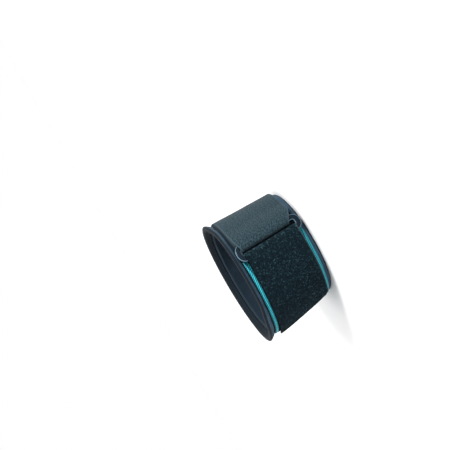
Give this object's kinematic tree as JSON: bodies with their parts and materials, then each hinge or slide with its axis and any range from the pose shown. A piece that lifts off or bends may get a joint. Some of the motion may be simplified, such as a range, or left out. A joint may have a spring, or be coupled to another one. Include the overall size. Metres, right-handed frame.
{
  "type": "tennis elbow strap",
  "caption": "Padded forearm band with a bound rim at each end, tightened by a loop-pile strap that passes through a ring and sticks back on itself.",
  "frame": {"origin": "under the middle of the strap's box, in the plane of the wrist rim that it stands on", "axes": "+Z along the forearm's axis from the wrist rim to the wider elbow rim, -Y towards the side with the ring"},
  "size_m": [0.1074, 0.1008, 0.0655],
  "materials": {
    "padded_foam": "matt knit over foam",
    "binding_tape": "matt woven",
    "turquoise_cloth": "satin knit",
    "dark_plastic": "gloss",
    "grey_webbing": "matt fine weave",
    "dark_pile": "loop pile",
    "hook_tape": "moulded hooks"
  },
  "bodies": {
    "root": {"padded_band": "padded_foam", "wrist_binding": "binding_tape", "elbow_binding": "binding_tape", "accent_band": "turquoise_cloth", "ring": "dark_plastic", "webbing_tab": "grey_webbing", "closure_strap": "dark_pile", "hook_patch": "hook_tape"}
  },
  "joints": []
}
